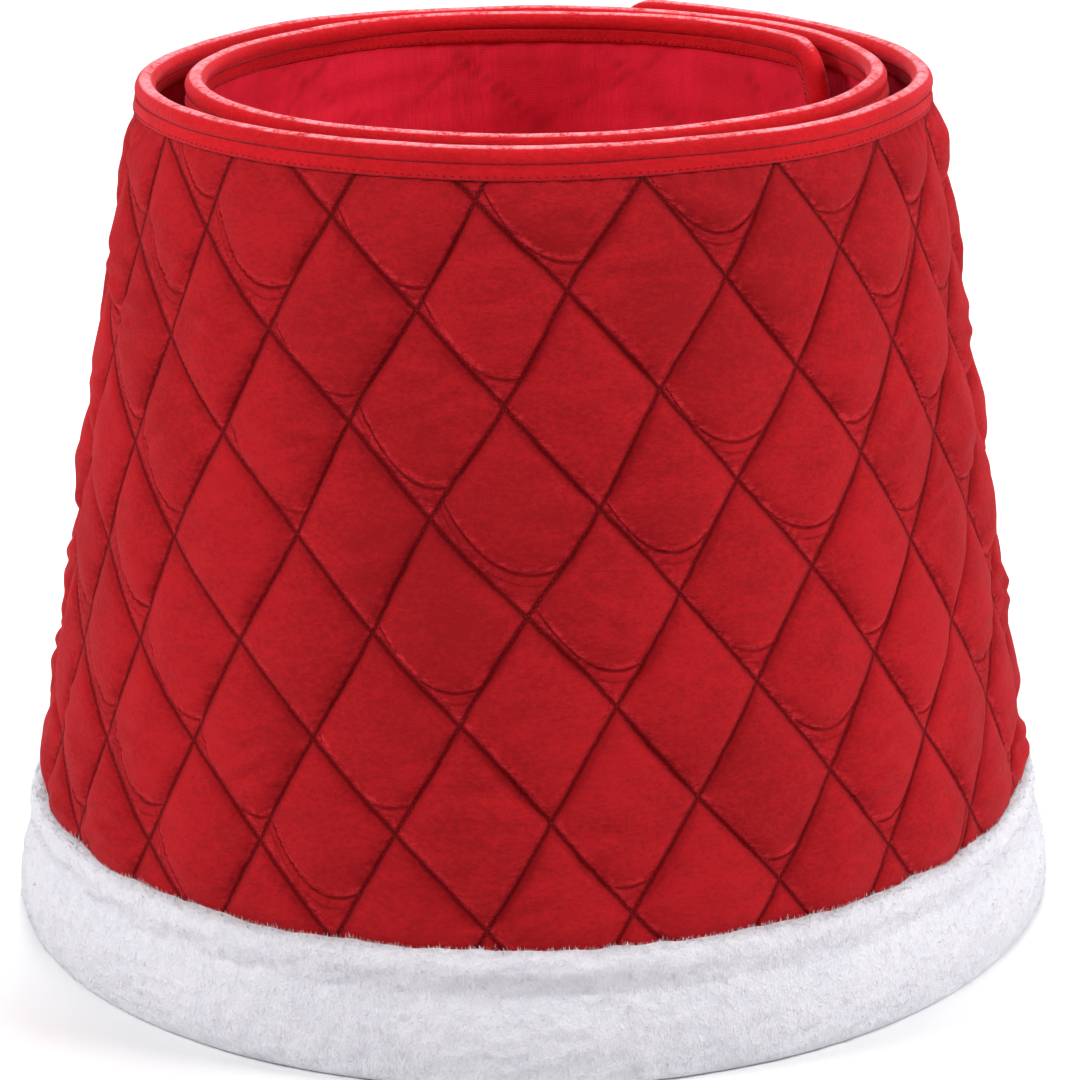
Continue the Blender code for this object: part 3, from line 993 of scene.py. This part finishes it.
def binding_section():
    """(inward, offset) of the binding, from its outer hem over the roll to its inner hem."""
    flange = WALL_HALF + FLANGE_THICKNESS
    edge = EDGE_INSET + FLANGE_WIDTH
    neck = math.pi - math.asin((flange - 0.0003) / ROLL_RADIUS)
    turns = np.linspace(neck, -neck, 27)
    roll = [(-ROLL_RADIUS * math.cos(t), ROLL_RADIUS * math.sin(t)) for t in turns]
    foot = roll[0][0]
    hem = [(edge, WALL_HALF - 0.0010), (edge + 0.0004, flange - 0.0006), (edge - 0.0002, flange - 0.0001)]
    flat = [(edge - 0.0016, flange), (foot + 0.0012, flange), (foot + 0.0004, flange - 0.0001)]
    outer = hem + flat + [(foot + 0.0001, flange - 0.0003)]
    inner = [(inward, -offset) for inward, offset in outer[::-1]]
    return np.array(outer + roll + inner)


def binding_at(stations, section):
    """at(column, row) of the binding, with the roll's slight unevenness and the flange's puckers."""
    rows = np.arange(len(section))

    def at(column, row):
        station = station_at(stations, column)
        inward = np.interp(row, rows, section[:, 0])
        offset = np.interp(row, rows, section[:, 1])
        length = np.interp(station[..., 0], ARC_TURNS, ARC_LENGTHS) + ROLL_HEIGHT - station[..., 1]
        on_roll = inward < EDGE_INSET
        side = np.sign(offset)
        swell = 1 + 0.02 * wander(length, 0.02 * row / len(rows), 0.06, 31) * on_roll
        dimples = 0.04 * MM * wander(length, row * 0.0007, 0.018, 32)
        pucker = 0.16 * MM * np.sin(TAU * length / 0.0066 + 2 * wander(length, 0, 0.05, 33)) * (~on_roll)
        drift_up = 0.5 * MM * wander(length, 0, 0.19, 34)
        drift_out = 0.6 * MM * wander(length, 0, 0.23, 35)
        out = offset * swell + side * (dimples + pucker) + drift_out * on_roll
        return roll_place(station, inward * swell - drift_up, out)

    return at


def hem_stitches(stations, section, at):
    """The starts, the ends and the outward directions of the stitches along both hems."""
    columns, run = np.arange(len(stations)), run_along(stations)
    places = np.arange(HEM_STITCH_START, run[-1] - HEM_STITCH_PITCH, HEM_STITCH_PITCH)
    begins = np.interp(places, run, columns)
    stops = np.interp(places + HEM_STITCH_LENGTH, run, columns)
    turns = station_at(stations, begins)[:, 0]
    starts, ends, outward = [], [], []
    for hem, side in ((HEM_STITCH_ROW, 1), (len(section) - 1 - HEM_STITCH_ROW, -1)):
        row = np.full(len(begins), hem)
        starts.append(at(begins, row))
        ends.append(at(stops, row))
        outward.append(side * outward_at(turns))
    return [np.concatenate(part) for part in (starts, ends, outward)]


def piped_binding(segment):
    """The velvet binding over its cord, stitched down along both hems."""
    stations = roll_stations(segment, BINDING_STEP)
    section = binding_section()
    at = binding_at(stations, section)
    sheet = cloth_grid(np.arange(len(stations)), np.arange(len(section)), at)
    # painted shade in the neck and hem creases
    groove_shade = np.zeros((len(stations), len(section)))
    groove_shade[:, NECK_ROWS + HEM_ROWS] = GROOVE_SHADE
    stitches = hem_stitches(stations, section, at)
    name = f"piped_binding_{segment}"
    piece = stitched_cloth(name, BINDING, sheet, {"groove_shade": groove_shade}, stitches, HEM_STITCH_RADIUS)
    return stand_for("rim_binding", piece, segment)


CORD_STEP, CORD_SIDES = 0.006, 12
CORD_RADIUS, STRAND_RISE, STRANDS, LAY_LENGTH = 0.0037, 0.0003, 3, 0.05


def twisted_cord(segment):
    """The filler cord in the roll, of three laid strands."""
    stations = roll_stations(segment, CORD_STEP)
    columns, run = np.arange(len(stations)), run_along(stations)

    def at(column, share):
        lay = STRANDS * TAU * (share - np.interp(column, columns, run) / LAY_LENGTH)
        radius = CORD_RADIUS + STRAND_RISE * np.cos(lay)
        across, out = -radius * np.cos(TAU * share), radius * np.sin(TAU * share)
        return roll_place(station_at(stations, column), across, out)

    piece = closed_sweep(f"twisted_cord_{segment}", columns, CORD_SIDES, at, CORD)
    return stand_for("piping_cord", piece, segment)


PLUSH_STEP, PLUSH_ROWS = 0.0034, 64
HAIRS_PER_POINT, HAIRS_PER_COLUMN = 5.0, 30
HAIR_LENGTHS, TOP_HAIR_LENGTHS = (0.0014, 0.0028), (0.0015, 0.0040)
HAIR_HALF_WIDTHS = (0.00012, 0.00024)
HAIR_SCATTER = (0.0016, 0.0016, 0.0012)
HAIR_FLOOR = 0.0003
LUCK_SEEDS = {"inner_end": 51, "main": 52, "wrap": 53, "tail": 54}


def trim_section():
    """(offset, height) of the plush band, from the inner leg's top, under the foot, to the outer's."""
    inner = [(-0.0030, 0.0305), (-0.0052, 0.0312), (-0.0072, 0.0290), (-0.0078, 0.0220), (-0.0074, 0.0100)]
    foot = [(-0.0064, 0.0025), (-0.0045, 0.0), (0.0, 0.0), (0.0050, 0.0), (0.0072, 0.0025)]
    outer = [(0.0088, 0.0100), (0.0100, 0.0190), (0.0099, 0.0290), (0.0084, 0.0390), (0.0066, 0.0470)]
    shoulder = [(0.0082, 0.0530), (0.0102, 0.0585), (0.0096, 0.0645), (0.0068, 0.0680), (0.0030, 0.0686)]
    points = np.array(inner + foot + outer + shoulder)
    steps = np.concatenate([[0], np.cumsum(np.linalg.norm(np.diff(points, axis=0), axis=1))])
    even = np.linspace(0, steps[-1], int(PLUSH_ROWS * FINE))
    return np.stack([np.interp(even, steps, part) for part in points.T], axis=-1)


def plush_band(segment):
    """The fur band folded round the lower edge, with tufts and a fuzz of single hairs."""
    section = trim_section()
    rows = np.arange(len(section))
    turns = turns_of(segment, PLUSH_STEP)

    def at(turn, row):
        offset, height = (np.interp(row, rows, part) for part in section.T)
        along = np.interp(turn, ARC_TURNS, ARC_LENGTHS)
        up = row * 0.0028
        tufts = 0.35 * MM * wander(along, up, 0.018, 41) + 0.22 * MM * wander(along, up, 0.0075, 42, 8)
        sway = 0.8 * MM * wander(along, up * 0.4, 0.13, 43)
        lumps = 0.5 * MM * wander(along, 0, 0.03, 44) + 0.4 * MM * wander(along, 0, 0.011, 45)
        off_floor = np.clip(height / 0.006, 0, 1)
        out = offset + np.sign(offset) * (tufts + sway) * off_floor
        return level_place(turn, height + off_floor * lumps, out)

    points, normals, faces = cloth_grid(turns, rows, at)
    luck = np.random.default_rng(LUCK_SEEDS[segment])
    hairs = pile_blades(points, normals, turns, section, luck)
    hair_points, hair_faces, hair_normals, hair_marks = hairs
    faces = as_triangles(faces)
    if free_end(segment):
        points, normals, cap = band_end(points, normals, len(rows), free_end(segment)[1])
        faces = np.concatenate([faces, cap])
    faces = np.concatenate([faces, hair_faces + len(points)])
    marks = {"pile": np.concatenate([np.zeros(len(points)), hair_marks])}
    points = np.concatenate([points, hair_points])
    normals = np.concatenate([normals, hair_normals])
    piece = finish_mesh(f"plush_band_{segment}", points, faces, normals, [FUR], None, marks)
    return stand_for("fur_trim", piece, segment)


def band_end(points, normals, rows, way):
    """The band's points and normals with a closed free end added, and the faces of that end."""
    ring = points[:rows] if way == 1 else points[-rows:]
    middle = ring.mean(axis=0, keepdims=True)
    facing = np.cross(ring[rows // 3] - middle[0], ring[2 * rows // 3] - middle[0]) * way
    facing = np.tile(facing / np.linalg.norm(facing), (rows + 1, 1))
    corner = len(points) + np.arange(rows)
    cap = np.stack([np.full(rows, len(points) + rows), corner, np.roll(corner, -1)], axis=-1)
    return np.concatenate([points, ring, middle]), np.concatenate([normals, facing]), cap[:, ::way]


def pile_blades(points, normals, turns, section, luck):
    """(points, faces, normals, marks) of short hairs over the band, standing up along its upper edge."""
    rows = len(section)
    seen = np.flatnonzero((turns > HIDDEN_UNTIL) | (turns < INNER_HINGE))
    if len(seen) < 2:
        seen = np.arange(len(turns))
    outer_rows = np.flatnonzero((section[:, 0] > 0) & (section[:, 1] > 0.003))
    top_rows = np.flatnonzero((section[:, 0] > 0.003) & (section[:, 1] > 0.0655))
    wall_hairs = int(len(seen) * len(outer_rows) * HAIRS_PER_POINT * FINE)
    top_hairs = int(len(seen) * HAIRS_PER_COLUMN * FINE)
    body = luck.choice(seen, wall_hairs) * rows + luck.choice(outer_rows, wall_hairs)
    edge = luck.choice(seen, top_hairs) * rows + luck.choice(top_rows, top_hairs)
    roots = np.concatenate([body, edge])
    on_top = np.arange(len(roots)) >= wall_hairs
    root, normal = points[roots], normals[roots]
    root = root + luck.normal(0, 1, root.shape) * HAIR_SCATTER
    outward = np.einsum("ij,ij->i", root - points[roots], normal)
    root = root - normal * (outward[:, None] + 0.0004)
    comb = np.where(on_top[:, None], (0, 0, 0.8), (0, 0, -0.7))
    direction = unit(normal * 0.5 + comb + luck.normal(0, 0.38, root.shape))
    top_lengths = luck.uniform(*TOP_HAIR_LENGTHS, len(roots))
    lengths = np.where(on_top, top_lengths, luck.uniform(*HAIR_LENGTHS, len(roots)))
    tip = root + direction * lengths[:, None]
    for end in (root, tip):
        end[:, 2] = np.maximum(end[:, 2], HAIR_FLOOR)
    half = unit(np.cross(direction, normal)) * luck.uniform(*HAIR_HALF_WIDTHS, (len(roots), 1))
    made = np.stack([root - half, root + half, tip], axis=1).reshape(-1, 3)
    faces = np.arange(len(made)).reshape(-1, 3)
    # each hair's random tone, half as strong at its root: partly painted shade at the roots
    tones = luck.uniform(0.2, 0.8, (len(roots), 1)) * (0.5, 0.5, 1.0)
    return made, faces, np.repeat(normal, 3, axis=0), tones.ravel()


def declare_sheets(segment, velvet, lining):
    """Works out the flat size of a segment's velvet and lining, and does nothing with it."""
    low, high = SEGMENTS[segment][:2]
    middle = np.arange(low, high, 1.0)
    for piece, bottom in ((velvet, 0.0), (lining, WALL_BOTTOM)):
        width = (ROLL_HEIGHT - bottom) * math.hypot(1, SLOPE)
        length = float(np.sum(wall_radius(middle, HEIGHT / 2)) * math.radians(1))


def closing_tapes():
    """The CAD's two tapes keep their shape and get their weave."""
    for node, finish in (("hook_tape", HOOKS), ("loop_tape", LOOPS)):
        piece = bpy.data.objects[node]
        piece.data.materials.clear()
        piece.data.materials.append(finish)


def make_skirt():
    for segment in SEGMENTS:
        velvet = quilted_velvet(segment)
        lining = smooth_lining(segment)
        soft_batting(segment)
        binding = piped_binding(segment)
        twisted_cord(segment)
        band = plush_band(segment)
        declare_sheets(segment, velvet, lining)
    closing_tapes()


# ---------------------------------------------------------------- the studio


FLOOR_HALF = 6.0
SKY_STRENGTH = 0.22
MIDDLE, TOP = (0, 0, HEIGHT / 2), (0, 0, HEIGHT)

# name, place, where it is aimed, width of its disk, power
LIGHTS = (
    ("left", (-2.3, -0.7, 1.9), MIDDLE, 0.9, 44),
    ("right", (2.3, -0.5, 1.9), MIDDLE, 0.9, 56),
    ("front", (-0.3, -1.6, 2.5), MIDDLE, 0.7, 21),
    ("over", (0.1, 1.3, 2.4), MIDDLE, 1.4, 44),
    ("behind", (0.0, 2.6, 1.5), TOP, 1.2, 24),
    ("backdrop", (0.0, 4.6, 2.6), (0, 5.4, 0), 3.0, 120),
)


def studio_floor():
    mesh = bpy.data.meshes.new("floor")
    corners = [(x * FLOOR_HALF, y * FLOOR_HALF, 0) for x, y in ((-1, -1), (1, -1), (1, 1), (-1, 1))]
    mesh.from_pydata(corners, [], [(0, 1, 2, 3)])
    finish = Finish("pale_floor", Roughness=0.75, Specular_IOR_Level=0.2)
    finish.feed("Base Color", finish.mix(finish.noise(3.0), (0.86, 0.86, 0.87), (0.89, 0.89, 0.90)))
    mesh.materials.append(finish.material)
    floor = bpy.data.objects.new("floor", mesh)
    bpy.context.scene.collection.objects.link(floor)
    floor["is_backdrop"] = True


def soft_light(name, place, aim, size, power):
    data = bpy.data.lights.new(name, "AREA")
    data.shape = "DISK"
    data.size = size
    data.energy = power
    lamp = bpy.data.objects.new(name, data)
    lamp.location = place
    lamp.rotation_euler = (Vector(aim) - Vector(place)).to_track_quat("-Z", "Y").to_euler()
    bpy.context.scene.collection.objects.link(lamp)


def studio():
    studio_floor()
    world = bpy.data.worlds.new("studio")
    world.use_nodes = True
    background = world.node_tree.nodes["Background"]
    background.inputs[0].default_value = (1.0, 1.0, 1.0, 1)
    background.inputs[1].default_value = SKY_STRENGTH
    bpy.context.scene.world = world
    for light in LIGHTS:
        soft_light(*light)


CAMERA_DISTANCE = 1.914
CAMERA_HEIGHT = 0.792
CAMERA_SIDE = 0.0057
CAMERA_DIP = math.radians(17.44)
LENS, SENSOR = 120.86, 36.0


def camera():
    data = bpy.data.cameras.new("camera")
    data.lens = LENS
    data.sensor_width = SENSOR
    made = bpy.data.objects.new("camera", data)
    made.location = (COIL_AXIS[0] + CAMERA_SIDE, COIL_AXIS[1] - CAMERA_DISTANCE, CAMERA_HEIGHT)
    made.rotation_euler = (math.pi / 2 - CAMERA_DIP, 0, 0)
    bpy.context.scene.collection.objects.link(made)
    bpy.context.scene.camera = made


bpy.context.scene.view_settings.view_transform = "Standard"
camera()
studio()
make_skirt()
boxes = {"cad": CAD_BOX, "visual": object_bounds()}
{name: [list(map(float, corner)) for corner in box] for name, box in boxes.items()}
